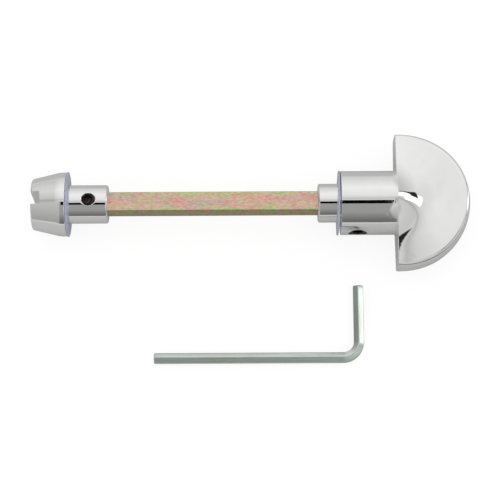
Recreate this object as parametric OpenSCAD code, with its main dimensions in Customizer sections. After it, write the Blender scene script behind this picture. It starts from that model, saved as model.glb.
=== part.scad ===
// Bathroom thumbturn and coin release on a common square spindle, with its hex key.
// Origin: on the spindle axis at the thumbturn's shoulder. +X points to the knob's crest,
// the knob's blade lies in the XY plane, and the set rests on its washers below, at -Z.

/* [Spindle] */
// Side of the square spindle
spindle_w = 5; // [4.5:0.1:5.5]
// Whole length of the spindle
spindle_len = 80; // [70:1:110]
// Chamfer along the spindle's four long edges
spindle_edge = 0.3; // [0.1:0.1:0.6]
// Length of spindle inside the release
release_grip = 11; // [8:0.5:13]
// Length of spindle inside the thumbturn
turn_grip = 16.7; // [12:0.1:17]

/* [Fits] */
// Gap round the spindle in its square sockets, on each side
socket_gap = 0.08; // [0.05:0.01:0.15]
// Gap between a washer's bore and the neck it turns on, on the radius
washer_gap = 0.1; // [0.05:0.01:0.1]
// Gap round a set screw in its hole, on the radius
screw_gap = 0.05; // [0.02:0.01:0.1]
// Free depth of the release's socket past the spindle's end
release_socket_spare = 3; // [1:0.5:3]
// Free depth of the thumbturn's socket past the spindle's end
turn_socket_spare = 3.5; // [1:0.5:4]

/* [Release] */
// Diameter of the release head behind its taper
head_d = 16; // [14:0.5:20]
// Length of the release head, from its shoulder to its outer face
head_len = 8.7; // [8:0.1:12]
// Length of the straight land at the head's shoulder
head_land = 1.3; // [0.5:0.1:3]
// Taper of the head, from its axis
head_taper = 13.5; // [5:0.5:18]
// Radius on the edge of the head's outer face
head_edge_r = 0.5; // [0.3:0.1:1.5]
// Width of the coin slot
slot_w = 3; // [1.6:0.1:4]
// Depth of the coin slot
slot_depth = 2.1; // [1:0.1:2.4]
// Diameter of the release's boss
boss_d = 9.6; // [9:0.1:12]
// Length of the release's boss
boss_len = 10.2; // [9:0.1:16]
// Radius on the edge of the boss and of the neck
neck_edge_r = 0.5; // [0.2:0.1:0.8]
// Place of the release's set screw, from the end of the boss
release_screw_at = 4.75; // [3:0.05:5.5]

/* [Thumbturn] */
// Diameter of the thumbturn's neck
neck_d = 9.7; // [9:0.1:12]
// Length of the thumbturn's neck
neck_len = 5.6; // [4:0.1:10]
// Diameter of the thumbturn's stem
stem_d = 16; // [14:0.5:20]
// Length of the stem, from its shoulder to the blade's underside
stem_len = 13.8; // [12:0.1:18]
// Radius on the edge of the stem's shoulder
shoulder_edge_r = 0.2; // [0.2:0.1:0.8]
// Radius of the blade's round rim
blade_r = 17.2; // [15:0.1:19]
// Straight length of the rim before it turns round
blade_straight = 1.4; // [0.5:0.1:5]
// Thickness of the blade along its underside
blade_root_t = 3.3; // [2.4:0.1:5]
// Angle by which each face of the blade flares toward the crest
blade_flare = 8.7; // [4:0.1:11]
// How far the skirt's foot runs onto the face past the underside
skirt_reach = 11.3; // [10.8:0.1:12]
// Radius of the skirt's foot, seen square to the face
skirt_foot_r = 14.8; // [14.4:0.1:15.4]
// Radius of the hollow fillet that the skirt falls in
skirt_r = 10; // [9.5:0.1:10.5]
// Place of the thumbturn's set screw, from its shoulder
turn_screw_at = 4.3; // [4:0.1:7]

/* [Washers] */
// How far a washer stands past the rim of the shoulder it lies against
washer_proud = 0.1; // [0:0.05:1]
// Thickness of both washers
washer_t = 0.4; // [0.4:0.1:1.2]
// Gap by which the thumbturn's washer hangs off the shoulder
turn_washer_float = 0.3; // [0.1:0.1:0.3]

/* [Set screws] */
// Thread diameter of the release's set screw
release_screw_d = 4; // [3:0.5:4]
// Thread pitch of the release's set screw
release_screw_pitch = 0.7; // [0.5:0.05:0.8]
// Length of the release's set screw
release_screw_len = 2.2; // [1.8:0.1:2.3]
// Hex socket in the release's set screw, across flats
release_screw_key = 2; // [1.5:0.5:2]
// Thread diameter of the thumbturn's set screw
turn_screw_d = 5; // [4:0.5:6]
// Thread pitch of the thumbturn's set screw
turn_screw_pitch = 0.8; // [0.7:0.05:1]
// Length of the thumbturn's set screw
turn_screw_len = 5; // [4:0.1:5.4]
// Hex socket in the thumbturn's set screw, across flats
turn_screw_key = 2.5; // [2:0.5:2.5]

/* [Hex key] */
// Size of the key, across flats
key_af = 2.5; // [2:0.5:3]
// Outer length of the key's long arm
key_long = 52.2; // [45:0.1:70]
// Outer length of the key's short arm
key_short = 19.5; // [15:0.1:25]
// Radius of the key's bend, at the middle of the bar
key_bend_r = 4; // [3:0.1:6]
// Distance from the spindle's axis to the key's long arm
key_away = 38; // [35:0.1:60]
// Place of the key's short arm along the spindle's axis
key_at = 4.4; // [-20:0.05:20]

/* [Hidden] */
$fn = 96;
fn_edge = 48; // for the rounds on edges

// Stations along the axis, from the thumbturn's shoulder at 0
spindle_right = turn_grip - neck_len;
spindle_left = spindle_right - spindle_len;
boss_end = spindle_left + release_grip;
release_shoulder = boss_end - boss_len;
release_face = release_shoulder - head_len;
release_screw_x = boss_end - release_screw_at;

// Socket and screw sizes that follow from what goes in them
socket_w = spindle_w + 2 * socket_gap;
release_socket_len = release_grip + release_socket_spare;
turn_socket_len = turn_grip + turn_socket_spare;

// The blade's half thickness grows with the distance past its underside
stem_r = stem_d / 2;
blade_round_x = stem_len + blade_straight;
function half_t(past) = blade_root_t / 2 + past * tan(blade_flare);

// The skirt is round about a line square to the face, which meets the face here
skirt_x = stem_len + skirt_reach - skirt_foot_r * cos(blade_flare);
skirt_wall_r = skirt_foot_r - skirt_r;
skirt_foot_cut = 0.01; // the fillet stops this far before it thins to nothing

// The set rests on its washers
floor_z = -max(head_d, stem_d) / 2 - washer_proud;
past_all = 1; // how far a cutting tool runs past what it cuts

// The mean diameter stands for a whole thread, on the screw and in its hole
function thread_mean_d(d, pitch) = d - 0.65 * pitch;

// A solid of revolution about the X axis, from a profile of [radius, place along X]
module turned() {
    rotate([0, 90, 0]) rotate_extrude() children();
}

// A disc of a profile from x0 to x1, with a round edge at its x0 end
module round_ended(r, x0, x1, edge) {
    translate([0, x0 + edge]) square([r, x1 - x0 - edge]);
    translate([0, x0]) square([r - edge, edge]);
    translate([r - edge, x0 + edge]) circle(r = edge, $fn = fn_edge);
}

// The same profile with the round edge at its x1 end
module round_tipped(r, x0, x1, edge) {
    translate([0, x0]) square([r, x1 - x0 - edge]);
    translate([0, x0]) square([r - edge, x1 - x0]);
    translate([r - edge, x1 - edge]) circle(r = edge, $fn = fn_edge);
}

// Square socket that runs from x0 along +X
module socket(x0, length) {
    translate([x0, -socket_w / 2, -socket_w / 2]) cube([length, socket_w, socket_w]);
}

// Tapped hole along +Z from the axis out to a surface at reach, with a countersunk mouth
module tapped_hole(d, pitch, reach) {
    core_r = thread_mean_d(d, pitch) / 2 + screw_gap;
    mouth_r = d / 2 + screw_gap;
    mouth_depth = mouth_r - core_r;
    cylinder(r = core_r, h = reach + past_all);
    translate([0, 0, reach - mouth_depth])
        cylinder(r1 = core_r, r2 = mouth_r + past_all, h = mouth_depth + past_all);
}

// Socket set screw that stands on its cup point at z = 0
module set_screw(d, pitch, length, key) {
    r = thread_mean_d(d, pitch) / 2;
    chamfer = 0.12 * d;
    difference() {
        rotate_extrude() polygon([
            [0, 0], [r - chamfer, 0], [r, chamfer],
            [r, length - chamfer], [r - chamfer, length], [0, length]]);
        translate([0, 0, length * 0.45])
            cylinder(d = key / cos(30), h = length, $fn = 6);
        translate([0, 0, -past_all])
            cylinder(r1 = 0.25 * d + past_all, r2 = 0, h = 0.25 * d + past_all);
    }
}

// Flat round washer from x0 along +X, on a neck, behind a shoulder of the given radius
module washer(x0, neck_r, shoulder_r) {
    bore_r = neck_r + washer_gap;
    turned() translate([bore_r, x0]) square([shoulder_r + washer_proud - bore_r, washer_t]);
}

// Profile of the release's head: outer face, round edge, taper and land
module head_profile() {
    land_x = release_shoulder - head_land;
    face_r = head_d / 2 - (land_x - release_face) * tan(head_taper);
    // Middle of the edge's round, which touches the face and the taper
    edge_x = release_face + head_edge_r;
    edge_c = face_r + head_edge_r * (tan(head_taper) - 1 / cos(head_taper));
    translate([edge_c, edge_x]) circle(r = head_edge_r, $fn = fn_edge);
    polygon([
        [0, release_face], [edge_c, release_face],
        [edge_c + head_edge_r * cos(head_taper), edge_x - head_edge_r * sin(head_taper)],
        [head_d / 2, land_x], [head_d / 2, release_shoulder], [0, release_shoulder]]);
}

// Outside release: a tapered head with a coin slot, on a boss that clamps the spindle
module release_turn() {
    color("gainsboro") difference() {
        union() {
            turned() head_profile();
            turned() round_tipped(boss_d / 2, release_shoulder - past_all, boss_end, neck_edge_r);
        }
        socket(boss_end - release_socket_len, release_socket_len + past_all);
        translate([release_face - past_all, -slot_w / 2, -head_d])
            cube([slot_depth + past_all, slot_w, 2 * head_d]);
        translate([release_screw_x, 0, 0])
            tapped_hole(release_screw_d, release_screw_pitch, boss_d / 2);
    }
}

module release_washer() {
    color([0.62, 0.6, 0.8, 0.6]) washer(release_shoulder, boss_d / 2, head_d / 2);
}

// Seated on the spindle's upper face
module release_grub_screw() {
    color([0.15, 0.15, 0.16]) translate([release_screw_x, 0, spindle_w / 2])
        set_screw(release_screw_d, release_screw_pitch, release_screw_len, release_screw_key);
}

// Square bar with a small flat along each long edge
module spindle() {
    across_corners = spindle_w * sqrt(2) - spindle_edge * sqrt(2);
    color([0.78, 0.68, 0.5]) translate([spindle_left, 0, 0])
        rotate([90, 0, 90]) linear_extrude(spindle_len) intersection() {
            square(spindle_w, center = true);
            rotate(45) square(across_corners, center = true);
        }
}

// Body of revolution that the blade is sliced from: a round dome with a straight rim
module dome() {
    turned() intersection() {
        union() {
            translate([0, blade_round_x]) circle(r = blade_r);
            translate([0, stem_len]) square([blade_r, blade_straight]);
        }
        translate([0, stem_len]) square([blade_r, blade_r + blade_straight]);
    }
}

// Slab between the blade's two flared faces
module flared_slab() {
    reach = blade_r + blade_straight + past_all;
    rotate([90, 0, 0]) linear_extrude(2 * blade_r + 2 * past_all, center = true)
        polygon([
            [stem_len, -half_t(0)], [stem_len + reach, -half_t(reach)],
            [stem_len + reach, half_t(reach)], [stem_len, half_t(0)]]);
}

// Skirt over one face: the stem's end falls to the face in a wide hollow fillet.
// It stands square to the flared face, and its foot is an arc on that face.
module skirt() {
    half_root = half_t(0);
    foot_tip = skirt_reach / cos(blade_flare);
    translate([stem_len, 0, half_root]) rotate([0, -blade_flare, 0])
        translate([foot_tip - skirt_foot_r, 0, 0]) rotate_extrude() {
            difference() {
                translate([0, -half_root])
                    square([skirt_foot_r - skirt_foot_cut, half_root + skirt_r]);
                translate([skirt_foot_r, skirt_r]) circle(r = skirt_r);
            }
        }
}

// What the skirts may fill: the stem's own round, and a low shelf beside it
module skirt_limit() {
    shelf = stem_r / 2;
    turned() translate([0, neck_len]) square([stem_r, stem_len + skirt_reach]);
    translate([stem_len, -blade_r, -shelf]) cube([2 * skirt_reach, 2 * blade_r, 2 * shelf]);
}

// Inside turn: neck, stem and crescent knob in one casting
module thumbturn() {
    color("gainsboro") difference() {
        union() {
            turned() round_ended(neck_d / 2, -neck_len, past_all, neck_edge_r);
            turned() round_ended(stem_r, 0, skirt_x + skirt_wall_r / 2, shoulder_edge_r);
            intersection() {
                dome();
                flared_slab();
            }
            intersection() {
                union() {
                    skirt();
                    mirror([0, 0, 1]) skirt();
                }
                skirt_limit();
            }
        }
        socket(-neck_len - past_all, turn_socket_len + past_all);
        translate([turn_screw_at, 0, 0]) rotate([90, 0, 0])
            tapped_hole(turn_screw_d, turn_screw_pitch, stem_r);
    }
}

module thumbturn_washer() {
    color([0.62, 0.6, 0.8, 0.6])
        washer(-turn_washer_float - washer_t, neck_d / 2, stem_r);
}

// Seated on the spindle's side
module thumbturn_grub_screw() {
    color([0.15, 0.15, 0.16]) translate([turn_screw_at, -spindle_w / 2, 0]) rotate([90, 0, 0])
        set_screw(turn_screw_d, turn_screw_pitch, turn_screw_len, turn_screw_key);
}

// Straight hex bar along +X with a chamfered far end, its corners at the top and bottom
module key_arm(length) {
    corner_r = key_af / 2 / cos(30);
    chamfer = key_af * 0.12;
    intersection() {
        rotate([0, 90, 0]) cylinder(r = corner_r, h = length, $fn = 6);
        turned() polygon([
            [0, -past_all], [corner_r + past_all, -past_all],
            [corner_r + past_all, length - chamfer - past_all],
            [corner_r - chamfer, length], [0, length]]);
    }
}

// The key lies on the floor beside the set, on the lower corners of its two arms
module hex_key() {
    corner_r = key_af / 2 / cos(30);
    bend_run = key_bend_r + key_af / 2;
    color([0.66, 0.7, 0.69]) translate([key_at, -key_away, floor_z + corner_r]) {
        translate([-key_bend_r, 0, 0]) mirror([1, 0, 0]) key_arm(key_long - bend_run);
        translate([-key_bend_r, key_bend_r, 0]) rotate(-90)
            rotate_extrude(angle = 90) translate([key_bend_r, 0]) rotate(30)
                circle(r = corner_r, $fn = 6);
        translate([0, key_bend_r, 0]) rotate(90) key_arm(key_short - bend_run);
    }
}

release_turn();
release_washer();
release_grub_screw();
spindle();
thumbturn();
thumbturn_washer();
thumbturn_grub_screw();
hex_key();
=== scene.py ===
"""Looks of the thumbturn and release: chromed castings, zinc plated spindle, washers, screws and key.

Every piece is built in millimetres in the part's own frame and stored in metres. Each is the surface of
a smooth distance field, so that its rounds and hollows reflect without facets.
"""

import math

import bpy
import numpy as np
from mathutils import Matrix, Vector


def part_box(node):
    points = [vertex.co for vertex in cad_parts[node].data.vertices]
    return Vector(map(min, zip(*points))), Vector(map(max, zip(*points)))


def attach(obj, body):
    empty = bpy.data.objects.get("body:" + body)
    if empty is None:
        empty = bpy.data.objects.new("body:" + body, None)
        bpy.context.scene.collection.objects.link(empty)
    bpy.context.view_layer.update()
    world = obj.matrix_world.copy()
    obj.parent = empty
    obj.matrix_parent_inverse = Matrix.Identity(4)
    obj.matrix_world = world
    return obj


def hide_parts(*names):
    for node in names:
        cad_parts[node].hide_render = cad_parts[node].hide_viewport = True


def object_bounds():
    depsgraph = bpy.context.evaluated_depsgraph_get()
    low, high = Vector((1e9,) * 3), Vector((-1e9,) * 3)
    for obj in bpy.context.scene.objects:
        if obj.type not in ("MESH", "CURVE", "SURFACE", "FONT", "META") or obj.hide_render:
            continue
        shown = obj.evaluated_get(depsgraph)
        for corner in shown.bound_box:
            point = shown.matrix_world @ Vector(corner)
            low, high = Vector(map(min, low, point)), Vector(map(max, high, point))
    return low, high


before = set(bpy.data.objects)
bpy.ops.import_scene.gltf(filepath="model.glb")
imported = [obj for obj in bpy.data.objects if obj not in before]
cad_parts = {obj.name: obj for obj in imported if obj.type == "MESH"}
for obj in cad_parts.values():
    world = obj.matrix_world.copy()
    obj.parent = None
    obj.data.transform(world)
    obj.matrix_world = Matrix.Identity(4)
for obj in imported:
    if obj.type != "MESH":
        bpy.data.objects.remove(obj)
cad_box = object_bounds()

MM = 0.001


def node_box(node):
    """Lowest and highest corner of a CAD node, in millimetres."""
    low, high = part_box(node)
    return np.array(low) / MM, np.array(high) / MM


TURN_LOW, TURN_HIGH = node_box("thumbturn")
RELEASE_LOW, RELEASE_HIGH = node_box("release_turn")
SPINDLE_LOW, SPINDLE_HIGH = node_box("spindle")
FLOOR_Z = node_box("thumbturn_washer")[0][2]

# Thumbturn
NECK_R = 4.85
NECK_END = TURN_LOW[0]
NECK_EDGE_R = 0.5
STEM_R = TURN_HIGH[2]
STEM_LEN = 13.8
STEM_EDGE_R = 0.08
BLADE_R = TURN_HIGH[1]
CREST_X = TURN_HIGH[0]
BLADE_CENTRE_X = CREST_X - BLADE_R
BLADE_ROOT_T = 3.3
BLADE_FLARE = math.radians(8.7)
# The bow shaped line that the skirt falls from: its place, its round at the nose and its slope far out
SKIRT_NOSE_X = 15.3
SKIRT_NOSE_R = 4.98
SKIRT_SPREAD = 0.655
# Height of the skirt over the face, what its nose adds to that, and how wide that nose is
SKIRT_RISE = 3.42
SKIRT_NOSE_RISE = 1.75
SKIRT_NOSE_WIDTH = 5.47
# How far the skirt runs from that line, what the horns add, and how far out they start
SKIRT_REACH = 10.44
SKIRT_HORN_REACH = 5.34
SKIRT_HORN_START = 7.44
SKIRT_POWER = 1.783
SKIRT_EDGE_R = 0.4
SKIRT_OVERLAP = 6.0
# Beside the stem the skirt stays under a shelf, which a fillet joins to the stem's round
SHELF_HEIGHT = 5.0
SHELF_FILLET_R = 1.5
# The rim's round, which is smaller in the horns
RIM_EDGE_R = 0.9
HORN_EDGE_R = 0.5
HORN_EDGE_FROM = 21.0
HORN_EDGE_SPAN = 5.0
ROOT_EDGE_R = 0.2
TURN_SCREW_X = 4.3
TURN_SCREW_R = 2.24
TURN_MOUTH_R = 2.4
TURN_MOUTH_EDGE_R = 0.12
TURN_SOCKET_END = 14.6

# Release
RELEASE_FACE = RELEASE_LOW[0]
BOSS_END = RELEASE_HIGH[0]
BOSS_R = 4.8
HEAD_R = RELEASE_HIGH[2]
RELEASE_SHOULDER = BOSS_END - 10.2
HEAD_LAND = 1.7
HEAD_TAPER = math.radians(13.5)
HEAD_EDGE_R = 0.45
LAND_EDGE_R = 0.2
SHOULDER_EDGE_R = 0.25
BOSS_EDGE_R = 0.5
SLOT_W = 3.0
SLOT_DEPTH = 2.1
SLOT_FLOOR_R = 0.3
SLOT_EDGE_R = 0.2
RELEASE_SCREW_X = BOSS_END - 4.75
RELEASE_SCREW_R = 1.77
RELEASE_THREAD_R = RELEASE_SCREW_R - 0.25
RELEASE_CORE_R = RELEASE_SCREW_R - 0.2
RELEASE_MOUTH_R = 1.85
RELEASE_MOUTH_EDGE_R = 0.1
RELEASE_SOCKET_END = BOSS_END - 14.0

# Square sockets for the spindle, and the play of the thumbturn's screw in its hole
SOCKET_HALF = 2.58
SOCKET_CORNER_R = 0.15
SOCKET_EDGE_R = 0.15
FIT = 0.05
# How far a screw hole's mouth is cut past the surface, and how far a socket is cut past its open end or
# a neck runs into the round that carries it
MOUTH_PAST = 0.5
JOIN = 1.0

# Spindle, key, washers and screws
SPINDLE_HALF = 2.5
SPINDLE_EDGE_R = 0.3
SPINDLE_END_R = 0.3
KEY_LOW, KEY_HIGH = node_box("hex_key")
KEY_HALF = 1.25
KEY_X = KEY_HIGH[0] - KEY_HALF
KEY_Y = KEY_LOW[1] + KEY_HALF
KEY_Z = (KEY_LOW[2] + KEY_HIGH[2]) / 2
KEY_BEND_R = 4.0
KEY_CORNER_R = 0.12
KEY_END_R = 0.25
TURN_WASHER_LOW, TURN_WASHER_HIGH = node_box("thumbturn_washer")
RELEASE_WASHER_LOW, RELEASE_WASHER_HIGH = node_box("release_washer")
WASHER_LEAN = math.radians(-1.5)
WASHER_SWAY = 0.3
WASHER_PLAY = 0.1
WASHER_RIM = 0.6
WASHER_CORNER_R = 0.1
WASHER_EDGE_R = 0.12
TURN_SCREW_LOW, TURN_SCREW_HIGH = node_box("thumbturn_grub_screw")
RELEASE_SCREW_LOW, RELEASE_SCREW_HIGH = node_box("release_grub_screw")
TURN_PITCH = 0.8
TURN_KEY_HALF = 1.25
RELEASE_PITCH = 0.7
RELEASE_KEY_HALF = 1.0
# Shares of a screw's outer radius at its point, its key end and its cup, of its length below its
# socket, and of the socket's half width at the socket's bevel
SCREW_POINT = 0.78
SCREW_KEY_END = 0.9
SCREW_CUP = 0.55
SCREW_SOLID = 0.45
SCREW_BEVEL = 1.15
SCREW_EDGE_R = 0.05

# Grid cells, and how far a vertex may move in cells, in so many steps, to reach the true surface
TURN_CELL = 0.2
RELEASE_CELL = 0.18
BAR_CELL = 0.22
KEY_CELL = 0.18
WASHER_CELL = 0.14
TURN_SCREW_CELL = 0.09
RELEASE_SCREW_CELL = 0.07
SETTLE_REACH = 0.6
SETTLE_STEPS = 4


# Distance fields: negative inside, positive outside, about one unit per millimetre

def union_round(a, b, r):
    """Union of two fields with a hollow fillet of radius r."""
    return np.maximum(r, np.minimum(a, b)) - np.hypot(np.maximum(r - a, 0), np.maximum(r - b, 0))


def common_round(a, b, r):
    """Overlap of two fields with a round edge of radius r."""
    return np.minimum(-r, np.maximum(a, b)) + np.hypot(np.maximum(r + a, 0), np.maximum(r + b, 0))


def tapped_hole(x, along, across, centre_x, core_r, mouth_r, surface_r):
    """Round hole along one direction, with a countersunk mouth at surface_r from the axis."""
    off_axis = np.hypot(x - centre_x, across)
    bore = off_axis - core_r
    mouth = (off_axis - mouth_r + (surface_r - along)) * math.sqrt(0.5)
    mouth = np.maximum(mouth, along - surface_r - MOUTH_PAST)
    return np.maximum(np.minimum(bore, mouth), -along)


def square_socket(x, y, z, x0, x1):
    """Square hole for the spindle from x0 to x1, with tight corners."""
    sides = common_round(np.abs(y) - SOCKET_HALF, np.abs(z) - SOCKET_HALF, SOCKET_CORNER_R)
    return np.maximum(sides, np.maximum(x0 - x, x - x1))


def thumbturn_field(x, y, z):
    """Neck, stem, and the blade with its two skirts."""
    height = np.abs(z)
    radius = np.hypot(y, z)
    neck = common_round(radius - NECK_R, np.maximum(NECK_END - x, x - JOIN), NECK_EDGE_R)

    # The skirt falls from its bow shaped line, steeply at the nose and gently in the horns
    bow = np.hypot(SKIRT_NOSE_R, SKIRT_SPREAD * y)
    bow_slope = SKIRT_SPREAD ** 2 * y / bow
    ahead = (x - SKIRT_NOSE_X + bow - SKIRT_NOSE_R) / np.hypot(1, bow_slope)
    rise = SKIRT_RISE + SKIRT_NOSE_RISE * np.exp(-(y / SKIRT_NOSE_WIDTH) ** 2)
    reach = SKIRT_REACH + SKIRT_HORN_REACH * (1 - np.exp(-(y / SKIRT_HORN_START) ** 2))
    left = np.clip(1 - ahead / reach, 0, 1)
    straight = np.maximum(-ahead, 0) * SKIRT_POWER / reach
    skirt = rise * (left ** SKIRT_POWER + straight)
    steepness = rise * SKIRT_POWER / reach * left ** (SKIRT_POWER - 1)

    past = x - STEM_LEN
    face = BLADE_ROOT_T / 2 + past * math.tan(BLADE_FLARE)
    above_face = (height - face - skirt) / np.hypot(1, steepness)
    dome = np.where(x > BLADE_CENTRE_X, np.hypot(x - BLADE_CENTRE_X, radius), radius) - BLADE_R
    in_horn = np.clip((HORN_EDGE_FROM - x) / HORN_EDGE_SPAN, 0, 1)
    rim_edge_r = RIM_EDGE_R + (HORN_EDGE_R - RIM_EDGE_R) * in_horn
    blade = common_round(common_round(dome, above_face, rim_edge_r), -past, ROOT_EDGE_R)
    blade = np.maximum(blade, union_round(radius - STEM_R, height - SHELF_HEIGHT, SHELF_FILLET_R))
    stem = common_round(common_round(radius - STEM_R, above_face, SKIRT_EDGE_R), -x, STEM_EDGE_R)
    stem = np.maximum(stem, past - SKIRT_OVERLAP)
    body = np.minimum(np.minimum(blade, stem), neck)

    socket = square_socket(x, y, z, NECK_END - JOIN, TURN_SOCKET_END)
    hole = tapped_hole(x, -y, z, TURN_SCREW_X, TURN_SCREW_R + FIT, TURN_MOUTH_R, STEM_R)
    return common_round(common_round(body, -socket, SOCKET_EDGE_R), -hole, TURN_MOUTH_EDGE_R)


def release_field(x, y, z):
    """Tapered head with its coin slot, and the boss behind it."""
    radius = np.hypot(y, z)
    land_x = RELEASE_SHOULDER - HEAD_LAND
    taper = (radius - HEAD_R + (land_x - x) * math.tan(HEAD_TAPER)) * math.cos(HEAD_TAPER)
    side = common_round(taper, radius - HEAD_R, LAND_EDGE_R)
    head = common_round(side, RELEASE_FACE - x, HEAD_EDGE_R)
    head = common_round(head, x - RELEASE_SHOULDER, SHOULDER_EDGE_R)
    slot = common_round(np.abs(y) - SLOT_W / 2, x - RELEASE_FACE - SLOT_DEPTH, SLOT_FLOOR_R)
    head = common_round(head, -slot, SLOT_EDGE_R)
    boss_ends = np.maximum(x - BOSS_END, RELEASE_SHOULDER - JOIN - x)
    body = np.minimum(head, common_round(radius - BOSS_R, boss_ends, BOSS_EDGE_R))

    socket = square_socket(x, y, z, RELEASE_SOCKET_END, BOSS_END + JOIN)
    hole = tapped_hole(x, z, y, RELEASE_SCREW_X, RELEASE_CORE_R, RELEASE_MOUTH_R, BOSS_R)
    return common_round(common_round(body, -socket, SOCKET_EDGE_R), -hole, RELEASE_MOUTH_EDGE_R)


def spindle_field(x, y, z):
    """Square bar with rounded edges and broken ends."""
    bar = common_round(np.abs(y) - SPINDLE_HALF, np.abs(z) - SPINDLE_HALF, SPINDLE_EDGE_R)
    return common_round(bar, np.maximum(SPINDLE_LOW[0] - x, x - SPINDLE_HIGH[0]), SPINDLE_END_R)


def key_field(x, y, z):
    """Hexagon bar that turns a right angle, with the hexagon's corners up and down."""
    along_long = x - KEY_X
    along_short = y - KEY_Y
    off_long = -along_short
    off_short = along_long
    off_bend = np.hypot(along_long + KEY_BEND_R, along_short - KEY_BEND_R) - KEY_BEND_R

    def hexagon(off):
        soft = np.sqrt(off ** 2 + 0.01)
        slopes = 0.5 * soft + math.sqrt(0.75) * np.abs(z - KEY_Z) - KEY_HALF
        return common_round(np.abs(off) - KEY_HALF, slopes, KEY_CORNER_R)

    in_bend = (along_long > -KEY_BEND_R) & (along_short < KEY_BEND_R)
    arms = np.minimum(
        np.where(along_long <= -KEY_BEND_R, hexagon(off_long), 9.0),
        np.where(along_short >= KEY_BEND_R, hexagon(off_short), 9.0),
    )
    bar = np.where(in_bend, hexagon(off_bend), arms)
    return common_round(bar, np.maximum(KEY_LOW[0] - x, y - KEY_HIGH[1]), KEY_END_R)


def washer_field(x, y, z, low, high, inner_r, lean):
    """Thin ring on a neck, with soft edges, that may lean about the vertical."""
    middle = (low[0] + high[0]) / 2
    along = (x - middle) * math.cos(lean) + y * math.sin(lean)
    radius = np.hypot(y * math.cos(lean) - (x - middle) * math.sin(lean), z)
    ring = common_round(radius - high[2], inner_r - radius, WASHER_CORNER_R)
    return common_round(ring, np.abs(along) - (high[0] - low[0]) / 2, WASHER_EDGE_R)


def turn_washer_field(x, y, z):
    inner_r = NECK_R + WASHER_PLAY
    return washer_field(x, y, z, TURN_WASHER_LOW, TURN_WASHER_HIGH, inner_r, WASHER_LEAN)


def release_washer_field(x, y, z):
    inner_r = BOSS_R + WASHER_PLAY
    return washer_field(x, y, z, RELEASE_WASHER_LOW, RELEASE_WASHER_HIGH, inner_r, 0.0)


def grub_screw_field(u, v, along, length, outer_r, pitch, key_half):
    """Screw from its cup point at 0 to its key socket at length, with a thread cut inward."""
    radius = np.hypot(u, v)
    turn = along / pitch - np.arctan2(v, u) / (2 * math.pi)
    groove = 0.25 * pitch * (1 - np.cos(2 * math.pi * turn))
    side = (radius - outer_r + groove) * 0.75
    tip = (radius - outer_r * SCREW_POINT - along) * math.sqrt(0.5)
    end = (radius - outer_r * SCREW_KEY_END - (length - along)) * math.sqrt(0.5)
    body = np.maximum(np.maximum(side, np.maximum(tip, end)), np.maximum(-along, along - length))
    socket = np.maximum(np.abs(u), 0.5 * np.abs(u) + math.sqrt(0.75) * np.abs(v)) - key_half
    bevel = (radius - key_half * SCREW_BEVEL - (along - length)) * math.sqrt(0.5)
    socket = np.maximum(np.minimum(socket, bevel), SCREW_SOLID * length - along)
    cup = (radius - outer_r * SCREW_CUP + along) * math.sqrt(0.5)
    return common_round(body, -np.minimum(socket, cup), SCREW_EDGE_R)


def turn_screw_field(x, y, z):
    length = TURN_SCREW_HIGH[1] - TURN_SCREW_LOW[1]
    along = TURN_SCREW_HIGH[1] - y
    off = x - TURN_SCREW_X
    return grub_screw_field(off, z, along, length, TURN_SCREW_R, TURN_PITCH, TURN_KEY_HALF)


def release_screw_field(x, y, z):
    length = RELEASE_SCREW_HIGH[2] - RELEASE_SCREW_LOW[2]
    along = z - RELEASE_SCREW_LOW[2]
    off = x - RELEASE_SCREW_X
    return grub_screw_field(off, y, along, length, RELEASE_THREAD_R, RELEASE_PITCH, RELEASE_KEY_HALF)


def gradient(field, points, step=0.004):
    """Slope of a field at each point, by central differences."""
    slopes = []
    for axis in range(3):
        offset = np.zeros(3)
        offset[axis] = step
        ahead, behind = points + offset, points - offset
        slopes.append((field(*ahead.T) - field(*behind.T)) / (2 * step))
    return np.stack(slopes, 1)


def net_of(values, low, cell):
    """Surface net of a field on a grid: one vertex in each mixed cell, one face at each crossed edge."""
    inside = values < 0
    cells = tuple(n - 1 for n in values.shape)
    total = np.zeros(cells + (3,))
    count = np.zeros(cells)
    for axis in range(3):
        others = [a for a in range(3) if a != axis]
        for shift in ((0, 0), (0, 1), (1, 0), (1, 1)):
            start = [slice(0, n) for n in cells]
            end = [slice(0, n) for n in cells]
            for other, s in zip(others, shift):
                start[other] = end[other] = slice(s, cells[other] + s)
            end[axis] = slice(1, cells[axis] + 1)
            a, b = values[tuple(start)], values[tuple(end)]
            crossed = inside[tuple(start)] != inside[tuple(end)]
            share = np.where(crossed, a / np.where(crossed, a - b, 1), 0)
            count += crossed
            total[..., axis] += share
            for other, s in zip(others, shift):
                total[..., other] += crossed * s
    index = -np.ones(cells, int)
    mixed = count > 0
    index[mixed] = np.arange(mixed.sum())
    place = np.stack(np.nonzero(mixed), 1) + total[mixed] / count[mixed][:, None]
    faces = []
    for axis in range(3):
        b, c = (axis + 1) % 3, (axis + 2) % 3
        start = [slice(1, n) for n in cells]
        end = [slice(1, n) for n in cells]
        start[axis] = slice(0, cells[axis])
        end[axis] = slice(1, cells[axis] + 1)
        goes_in = inside[tuple(end)] & ~inside[tuple(start)]
        goes_out = inside[tuple(start)] & ~inside[tuple(end)]
        for crossing, order in ((goes_out, (0, 1, 2, 3)), (goes_in, (3, 2, 1, 0))):
            at = np.stack(np.nonzero(crossing), 1)
            for other in (b, c):
                at[:, other] += 1
            ring = []
            for db, dc in ((1, 1), (0, 1), (0, 0), (1, 0)):
                corner = at.copy()
                corner[:, b] -= db
                corner[:, c] -= dc
                ring.append(index[tuple(corner.T)])
            faces.append(np.stack([ring[i] for i in order], 1))
    return low + place * cell, np.concatenate(faces)


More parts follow.
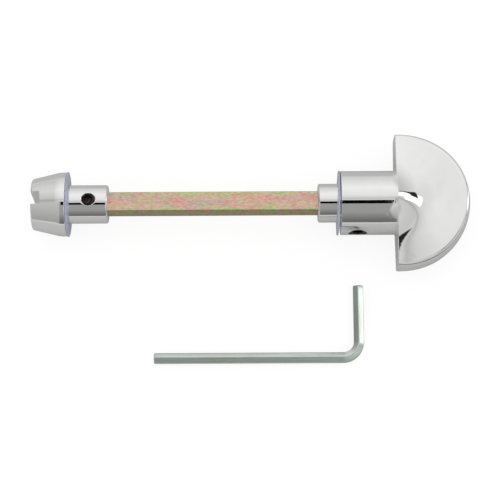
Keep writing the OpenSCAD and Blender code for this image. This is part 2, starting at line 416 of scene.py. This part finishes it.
def mesh_piece(name, points, faces, normals=None):
    """A smooth mesh object from points in millimetres."""
    mesh = bpy.data.meshes.new(name)
    mesh.from_pydata((points * MM).tolist(), [], faces.tolist())
    mesh.polygons.foreach_set("use_smooth", [True] * len(mesh.polygons))
    if normals is not None:
        mesh.normals_split_custom_set_from_vertices(normals.tolist())
    mesh.validate()
    mesh.update()
    piece = bpy.data.objects.new(name, mesh)
    bpy.context.scene.collection.objects.link(piece)
    return piece


def field_piece(name, field, low, high, cell):
    """Mesh of a distance field between two corners, with each vertex drawn onto the true surface."""
    low = np.array(low, float) - 2 * cell
    axes = [np.arange(a, b + 3 * cell, cell) for a, b in zip(low, high)]
    values = field(*np.meshgrid(*axes, indexing="ij"))
    points, faces = net_of(values, low, cell)
    start = points.copy()
    for _ in range(SETTLE_STEPS):
        slope = gradient(field, points)
        points = points - (field(*points.T) / np.maximum((slope ** 2).sum(1), 0.2))[:, None] * slope
        points = np.clip(points, start - SETTLE_REACH * cell, start + SETTLE_REACH * cell)
    slope = gradient(field, points)
    normals = slope / np.linalg.norm(slope, axis=1)[:, None]
    return mesh_piece(name, points, faces, normals)


# Pieces

def fit_piece(piece, node, body, material):
    """Puts a piece in the place of a CAD node, on the node's body and in the node's finish."""
    piece.data.materials.append(material)
    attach(piece, body)
    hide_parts(node)
    return piece


def castings(chrome):
    turn = field_piece("thumbturn_casting", thumbturn_field, TURN_LOW, TURN_HIGH, TURN_CELL)
    fit_piece(turn, "thumbturn", "turn", chrome)
    low, high = RELEASE_LOW, RELEASE_HIGH
    release = field_piece("release_casting", release_field, low, high, RELEASE_CELL)
    fit_piece(release, "release_turn", "release", chrome)


def bars(zinc, steel):
    bar = field_piece("spindle_bar", spindle_field, SPINDLE_LOW, SPINDLE_HIGH, BAR_CELL)
    fit_piece(bar, "spindle", "spindle", zinc)
    key = field_piece("key_bar", key_field, KEY_LOW, KEY_HIGH, KEY_CELL)
    fit_piece(key, "hex_key", "key", steel)


def small_parts(plastic, black):
    low, high = TURN_WASHER_LOW - WASHER_SWAY, TURN_WASHER_HIGH + WASHER_SWAY
    washer = field_piece("turn_washer_ring", turn_washer_field, low, high, WASHER_CELL)
    fit_piece(washer, "thumbturn_washer", "turn_washer", plastic)
    low, high = RELEASE_WASHER_LOW, RELEASE_WASHER_HIGH
    washer = field_piece("release_washer_ring", release_washer_field, low, high, WASHER_CELL)
    fit_piece(washer, "release_washer", "release_washer", plastic)
    low, high = TURN_SCREW_LOW, TURN_SCREW_HIGH
    screw = field_piece("turn_screw", turn_screw_field, low, high, TURN_SCREW_CELL)
    fit_piece(screw, "thumbturn_grub_screw", "turn_screw", black)
    low, high = RELEASE_SCREW_LOW, RELEASE_SCREW_HIGH
    screw = field_piece("release_screw", release_screw_field, low, high, RELEASE_SCREW_CELL)
    fit_piece(screw, "release_grub_screw", "release_screw", black)


# Nodes

def math_node(tree, operation, a, b=None):
    node = tree.nodes.new("ShaderNodeMath")
    node.operation = operation
    for socket, value in zip(node.inputs, (a, b)):
        if value is None:
            continue
        if isinstance(value, (int, float)):
            socket.default_value = value
        else:
            tree.links.new(value, socket)
    return node.outputs[0]


def ramp_node(tree, value, stops, low, high):
    """Grey ramp of a value that runs from low to high, from (value, grey) stops."""
    scaled = tree.nodes.new("ShaderNodeMapRange")
    scaled.inputs["From Min"].default_value = low
    scaled.inputs["From Max"].default_value = high
    tree.links.new(value, scaled.inputs["Value"])
    ramp = tree.nodes.new("ShaderNodeValToRGB")
    elements = ramp.color_ramp.elements
    elements.remove(elements[1])
    elements[0].position = 0
    for at, grey in stops:
        elements.new((at - low) / (high - low)).color = (grey, grey, grey, 1)
    elements.remove(elements[0])
    tree.links.new(scaled.outputs[0], ramp.inputs["Fac"])
    return ramp.outputs["Color"]


def smooth_step(tree, value, start, end):
    """0 below start and 1 above end, or the other way round where end is below start."""
    node = tree.nodes.new("ShaderNodeMapRange")
    node.interpolation_type = "SMOOTHSTEP"
    node.inputs["From Min"].default_value = min(start, end)
    node.inputs["From Max"].default_value = max(start, end)
    node.inputs["To Min"].default_value = 0.0 if start < end else 1.0
    node.inputs["To Max"].default_value = 1.0 if start < end else 0.0
    tree.links.new(value, node.inputs["Value"])
    return node.outputs[0]


def blend(tree, share, a, b):
    """Value a where share is 0, and value b where it is 1."""
    node = tree.nodes.new("ShaderNodeMix")
    for socket, value in zip((node.inputs[0], node.inputs[2], node.inputs[3]), (share, a, b)):
        if isinstance(value, (int, float)):
            socket.default_value = value
        else:
            tree.links.new(value, socket)
    return node.outputs[0]


def tint(tree, share, a, b):
    """Colour a where share is 0, and colour b where it is 1."""
    node = tree.nodes.new("ShaderNodeMix")
    node.data_type = "RGBA"
    for socket, value in zip((node.inputs[0], node.inputs[6], node.inputs[7]), (share, a, b)):
        if isinstance(value, tuple):
            socket.default_value = (*value, 1)
        elif isinstance(value, float):
            socket.default_value = value
        else:
            tree.links.new(value, socket)
    return node.outputs[2]


def between(tree, value, low, high):
    """A value from 0 to 1, spread from low to high."""
    return math_node(tree, "ADD", math_node(tree, "MULTIPLY", value, high - low), low)


def in_mm(tree):
    """Place on the piece in millimetres, which moves with the piece."""
    scale = tree.nodes.new("ShaderNodeVectorMath")
    scale.operation = "SCALE"
    scale.inputs["Scale"].default_value = 1 / MM
    tree.links.new(tree.nodes.new("ShaderNodeTexCoord").outputs["Object"], scale.inputs[0])
    return scale.outputs[0]


def noise(tree, grain, detail=2.0):
    """Noise from about 0 to 1, whose grain is given in millimetres along each axis."""
    mapping = tree.nodes.new("ShaderNodeMapping")
    mapping.inputs["Scale"].default_value = [1 / g for g in grain]
    tree.links.new(in_mm(tree), mapping.inputs["Vector"])
    node = tree.nodes.new("ShaderNodeTexNoise")
    node.inputs["Scale"].default_value = 1.0
    node.inputs["Detail"].default_value = detail
    tree.links.new(mapping.outputs[0], node.inputs["Vector"])
    return smooth_step(tree, node.outputs[0], 0.32, 0.68)


def bump(tree, shader, height, depth):
    """Relief of a height from 0 to 1, with its depth in millimetres."""
    node = tree.nodes.new("ShaderNodeBump")
    node.inputs["Strength"].default_value = 1.0
    node.inputs["Distance"].default_value = depth * MM
    tree.links.new(height, node.inputs["Height"])
    tree.links.new(node.outputs[0], shader.inputs["Normal"])


# Materials

def new_material(name, metallic=0.0):
    material = bpy.data.materials.new(name)
    material.use_nodes = True
    shader = material.node_tree.nodes["Principled BSDF"]
    shader.inputs["Metallic"].default_value = metallic
    return material, material.node_tree, shader


def chrome_material():
    """Polished chrome plate over a casting that is very slightly wavy."""
    material, tree, shader = new_material("chrome_plate", 1.0)
    haze = noise(tree, (3, 3, 3), 3.0)
    plate = tint(tree, haze, (0.925, 0.93, 0.918), (0.945, 0.95, 0.938))
    tree.links.new(plate, shader.inputs["Base Color"])
    tree.links.new(between(tree, haze, 0.01, 0.03), shader.inputs["Roughness"])
    bump(tree, shader, noise(tree, (1.6, 1.6, 1.6), 1.0), 0.0015)
    return material


def zinc_material():
    """Yellow zinc plate: pink and orange blotches, green along the bar's edges, painted shade that
    darkens its side faces, and a fine grain.
    """
    material, tree, shader = new_material("yellow_zinc_plate", 1.0)
    plate = tint(tree, noise(tree, (6, 1.6, 1.6)), (0.93, 0.36, 0.32), (0.62, 0.5, 0.42))
    plate = tint(tree, noise(tree, (9, 2.5, 2.5)), plate, (0.78, 0.55, 0.37))
    place = tree.nodes.new("ShaderNodeSeparateXYZ")
    tree.links.new(in_mm(tree), place.inputs[0])
    off_y = math_node(tree, "ABSOLUTE", place.outputs[1])
    off_z = math_node(tree, "ABSOLUTE", place.outputs[2])
    # From the middle of a face to its edges, with a wandering border
    to_edge = math_node(tree, "MINIMUM", off_y, off_z)
    to_edge = math_node(tree, "ADD", to_edge, between(tree, noise(tree, (4, 1.2, 1.2)), -0.4, 1.4))
    plate = tint(tree, smooth_step(tree, to_edge, 1.8, 3.0), plate, (0.56, 0.68, 0.25))
    # Painted shade: the faces to either side, where y is larger than z, are darkened towards olive
    painted_shade_on_side = smooth_step(tree, math_node(tree, "SUBTRACT", off_y, off_z), -0.1, 0.1)
    plate = tint(tree, math_node(tree, "MULTIPLY", painted_shade_on_side, 0.85), plate, (0.34, 0.3, 0.09))
    grain = noise(tree, (0.9, 0.3, 0.3), 4.0)
    light = tint(tree, 0.22, plate, (1.0, 0.96, 0.84))
    dark = tint(tree, 0.2, plate, (0.3, 0.2, 0.18))
    plate = tint(tree, grain, dark, light)
    tree.links.new(plate, shader.inputs["Base Color"])
    tree.links.new(between(tree, grain, 0.4, 0.28), shader.inputs["Roughness"])
    bump(tree, shader, grain, 0.004)
    return material


def key_material():
    """Satin bright zinc plate on drawn steel, with its streaks along each arm."""
    material, tree, shader = new_material("key_steel", 1.0)
    place = tree.nodes.new("ShaderNodeSeparateXYZ")
    tree.links.new(in_mm(tree), place.inputs[0])
    on_short = smooth_step(tree, place.outputs[1], KEY_Y, KEY_Y + KEY_BEND_R)
    streaks = blend(tree, on_short, noise(tree, (9, 0.35, 0.35), 3.0), noise(tree, (0.35, 9, 0.35), 3.0))
    stain = noise(tree, (6, 6, 2), 3.0)
    steel = tint(tree, streaks, (0.66, 0.74, 0.7), (0.77, 0.86, 0.8))
    steel = tint(tree, math_node(tree, "MULTIPLY", stain, 0.3), steel, (0.64, 0.61, 0.54))
    tree.links.new(steel, shader.inputs["Base Color"])
    tree.links.new(between(tree, streaks, 0.22, 0.14), shader.inputs["Roughness"])
    bump(tree, shader, streaks, 0.002)
    return material


def plastic_material():
    """Thin clear plastic, whose violet cast gathers near its rim."""
    material, tree, shader = new_material("clear_plastic")
    place = tree.nodes.new("ShaderNodeSeparateXYZ")
    tree.links.new(in_mm(tree), place.inputs[0])
    square_y = math_node(tree, "POWER", place.outputs[1], 2.0)
    square_z = math_node(tree, "POWER", place.outputs[2], 2.0)
    off_axis = math_node(tree, "ADD", square_y, square_z)
    near_rim = smooth_step(tree, math_node(tree, "SQRT", off_axis), STEM_R - WASHER_RIM, STEM_R)
    haze = noise(tree, (1.5, 1.5, 1.5), 3.0)
    clear = tint(tree, haze, (0.6, 0.6, 0.68), (0.66, 0.66, 0.74))
    tree.links.new(tint(tree, near_rim, clear, (0.52, 0.52, 0.74)), shader.inputs["Base Color"])
    tree.links.new(between(tree, haze, 0.25, 0.35), shader.inputs["Roughness"])
    shader.inputs["Transmission Weight"].default_value = 0.25
    shader.inputs["IOR"].default_value = 1.2
    return material


def black_material():
    """Black oxide on steel, worn to grey in specks."""
    material, tree, shader = new_material("black_oxide", 1.0)
    worn = noise(tree, (0.4, 0.4, 0.4), 4.0)
    oxide = tint(tree, worn, (0.02, 0.018, 0.015), (0.07, 0.06, 0.05))
    tree.links.new(oxide, shader.inputs["Base Color"])
    tree.links.new(between(tree, worn, 0.5, 0.32), shader.inputs["Roughness"])
    bump(tree, shader, worn, 0.004)
    return material


# Stage

CAMERA_TILT = math.radians(75)
TO_CAMERA = Vector((0, -math.cos(CAMERA_TILT), math.sin(CAMERA_TILT)))
IMAGE_UP = Vector((0, math.sin(CAMERA_TILT), math.cos(CAMERA_TILT)))
IMAGE_RIGHT = Vector((1, 0, 0))
CAMERA_DISTANCE = 457.5
PIXELS_WIDE = 500
PIXELS_PER_MM = 4.0
SENSOR = 36.0
ORIGIN_PX = 340.3
ORIGIN_PY = 203.6
CAMERA_ROLL = math.radians(-0.3)


def make_camera():
    """The photograph's view: from above, with the shoulder at its pixel."""
    middle = PIXELS_WIDE / 2
    target = (
        IMAGE_RIGHT * (middle - ORIGIN_PX) / PIXELS_PER_MM
        + IMAGE_UP * (ORIGIN_PY - middle) / PIXELS_PER_MM
    )
    data = bpy.data.cameras.new("camera")
    data.sensor_width = SENSOR
    data.lens = SENSOR * CAMERA_DISTANCE * PIXELS_PER_MM / PIXELS_WIDE
    data.clip_start = 0.01
    data.clip_end = 20
    camera = bpy.data.objects.new("camera", data)
    bpy.context.scene.collection.objects.link(camera)
    turn = Matrix((IMAGE_RIGHT, IMAGE_UP, TO_CAMERA)).transposed().to_4x4()
    place = Matrix.Translation((target + TO_CAMERA * CAMERA_DISTANCE) * MM)
    camera.matrix_world = place @ turn @ Matrix.Rotation(CAMERA_ROLL, 4, "Z")
    bpy.context.scene.camera = camera


# Brightness of the light tent above the camera, against the angle from the camera's axis in degrees
TENT_ABOVE = (
    (9, 0.62), (13, 0.66), (14.8, 0.62), (16, 0.4), (17.2, 0.62), (20, 0.68),
    (28, 0.8), (56, 0.9), (90, 0.72), (130, 0.5), (180, 0.4),
)
# The same below the camera, where a darker panel faces the set, and to either side of that panel
TENT_BELOW = ((-180, 0.4), (-100, 0.15), (-66, 0.15), (-40, 0.28), (-34, 0.32), (-4, 0.33), (9, 0.33))
TENT_LEFT = ((-180, 0.34), (-100, 0.34), (-60, 0.38), (0, 0.52), (9, 0.54))
TENT_RIGHT = ((-180, 0.43), (-100, 0.1), (-60, 0.2), (-20, 0.63), (9, 0.58))
# Share of the upper light against how far the direction leans to the right
TENT_BY_SIDE = ((-1, 0.22), (-0.84, 0.3), (-0.45, 0.85), (-0.2, 1.0), (0.3, 1.0), (0.7, 0.87), (1, 0.7))
# Height in degrees where the upper light starts, and the brightness of the white and black cards
TENT_SEAM = 9
TENT_WHITE = 1.5
TENT_BLACK = 0.02
OPENING_BLACK = 0.002
# The table, in millimetres. Its colour and glow are one pair for the camera and one for the pieces, for
# which the glow rises with the distance from the origin, in metres: a painted shade around the pieces
TABLE_HALF = 3000.0
SEEN_COLOUR = 0.2
SEEN_GLOW = 0.83
TABLE_COLOUR = 0.37
TABLE_GLOW_NEAR = 0.12
TABLE_GLOW_FAR = 0.27
TABLE_NEAR = 0.03
TABLE_FAR = 0.3


def share_along(tree, direction, axis):
    """How far a direction leans along an axis, from -1 to 1."""
    node = tree.nodes.new("ShaderNodeVectorMath")
    node.operation = "DOT_PRODUCT"
    node.inputs[1].default_value = axis
    tree.links.new(direction, node.inputs[0])
    return node.outputs["Value"]


def card(tree, *limits):
    """Mask of a card of the tent, from limits of a value: (value, low, high, softness)."""
    mask = None
    for value, low, high, soft in limits:
        for edge, sign in ((low, 1), (high, -1)):
            if edge is None:
                continue
            side = smooth_step(tree, value, edge - sign * soft, edge + sign * soft)
            mask = side if mask is None else math_node(tree, "MULTIPLY", mask, side)
    return mask


def upper_light(tree, height, side, up):
    """Light above the camera, with a white card on the right and a black flag over it."""
    light = ramp_node(tree, height, TENT_ABOVE, -180, 180)
    light = math_node(tree, "MULTIPLY", light, ramp_node(tree, side, TENT_BY_SIDE, -1, 1))
    window = card(tree, (side, 0.703, 0.95, 0.01), (height, 27, None, 0.5), (up, None, 0.442, 0.01))
    light = blend(tree, window, light, TENT_WHITE)
    flag = card(tree, (side, 0.793, 0.875, 0.01), (up, 0.39, 0.507, 0.01))
    return blend(tree, flag, light, TENT_BLACK)


def lower_light(tree, height, side):
    """Light below the camera: a darker panel with the camera's opening, and what lies on either side."""
    to_left = ramp_node(tree, height, TENT_LEFT, -180, 180)
    to_right = ramp_node(tree, height, TENT_RIGHT, -180, 180)
    light = blend(tree, smooth_step(tree, side, -0.1, 0.0), to_left, to_right)
    panel = card(tree, (side, -0.25, 0.079, 0.003))
    light = blend(tree, panel, light, ramp_node(tree, height, TENT_BELOW, -180, 180))
    opening = card(tree, (side, -0.15, 0.079, 0.003), (height, -3, None, 0.5))
    return blend(tree, opening, light, OPENING_BLACK)


def make_world():
    """A light tent, plain white for the camera and matt surfaces, with cards for polished ones."""
    world = bpy.data.worlds.new("light_tent")
    bpy.context.scene.world = world
    world.use_nodes = True
    tree = world.node_tree
    tree.nodes.clear()
    direction = tree.nodes.new("ShaderNodeTexCoord").outputs["Generated"]
    up = share_along(tree, direction, IMAGE_UP)
    side = share_along(tree, direction, IMAGE_RIGHT)
    height = math_node(tree, "ARCTAN2", up, share_along(tree, direction, TO_CAMERA))
    height = math_node(tree, "MULTIPLY", height, 180 / math.pi)

    below = lower_light(tree, height, side)
    above = upper_light(tree, height, side, up)
    tent = blend(tree, card(tree, (height, TENT_SEAM, None, 0.3)), below, above)
    flag = card(tree, (side, 0.32, 0.42, 0.01), (height, -8, 13.4, 0.5))
    tent = blend(tree, flag, tent, TENT_BLACK)
    path = tree.nodes.new("ShaderNodeLightPath")
    background = tree.nodes.new("ShaderNodeBackground")
    tree.links.new(blend(tree, path.outputs["Is Glossy Ray"], 1.0, tent), background.inputs["Color"])
    output = tree.nodes.new("ShaderNodeOutputWorld")
    tree.links.new(background.outputs[0], output.inputs["Surface"])


def make_floor():
    """White table that shows as white and keeps a soft shadow, with a painted shade near the pieces in
    what they reflect.
    """
    x0 = (cad_box[0][0] + cad_box[1][0]) / 2 / MM
    corners = np.array([
        [x0 + along * TABLE_HALF, across * TABLE_HALF, FLOOR_Z]
        for along, across in ((-1, -1), (1, -1), (1, 1), (-1, 1))
    ])
    floor = mesh_piece("table", corners, np.array([[0, 1, 2, 3]]))
    material = bpy.data.materials.new("table_white")
    material.use_nodes = True
    tree = material.node_tree
    tree.nodes.clear()
    path = tree.nodes.new("ShaderNodeLightPath")
    seen = math_node(tree, "MAXIMUM", path.outputs["Is Camera Ray"], path.outputs["Is Transmission Ray"])
    diffuse = tree.nodes.new("ShaderNodeBsdfDiffuse")
    tree.links.new(blend(tree, seen, TABLE_COLOUR, SEEN_COLOUR), diffuse.inputs["Color"])
    spot = tree.nodes.new("ShaderNodeNewGeometry").outputs["Position"]
    away = tree.nodes.new("ShaderNodeVectorMath")
    away.operation = "LENGTH"
    tree.links.new(spot, away.inputs[0])
    # Painted shade: for the pieces the table glows less near the origin, where the pieces lie
    far = smooth_step(tree, away.outputs["Value"], TABLE_NEAR, TABLE_FAR)
    glow = blend(tree, seen, between(tree, far, TABLE_GLOW_NEAR, TABLE_GLOW_FAR), SEEN_GLOW)
    emission = tree.nodes.new("ShaderNodeEmission")
    tree.links.new(glow, emission.inputs["Strength"])
    both = tree.nodes.new("ShaderNodeAddShader")
    tree.links.new(diffuse.outputs[0], both.inputs[0])
    tree.links.new(emission.outputs[0], both.inputs[1])
    output = tree.nodes.new("ShaderNodeOutputMaterial")
    tree.links.new(both.outputs[0], output.inputs["Surface"])
    floor.data.materials.append(material)


bpy.context.scene.view_settings.view_transform = "Standard"
make_camera()
make_world()
make_floor()
castings(chrome_material())
bars(zinc_material(), key_material())
small_parts(plastic_material(), black_material())
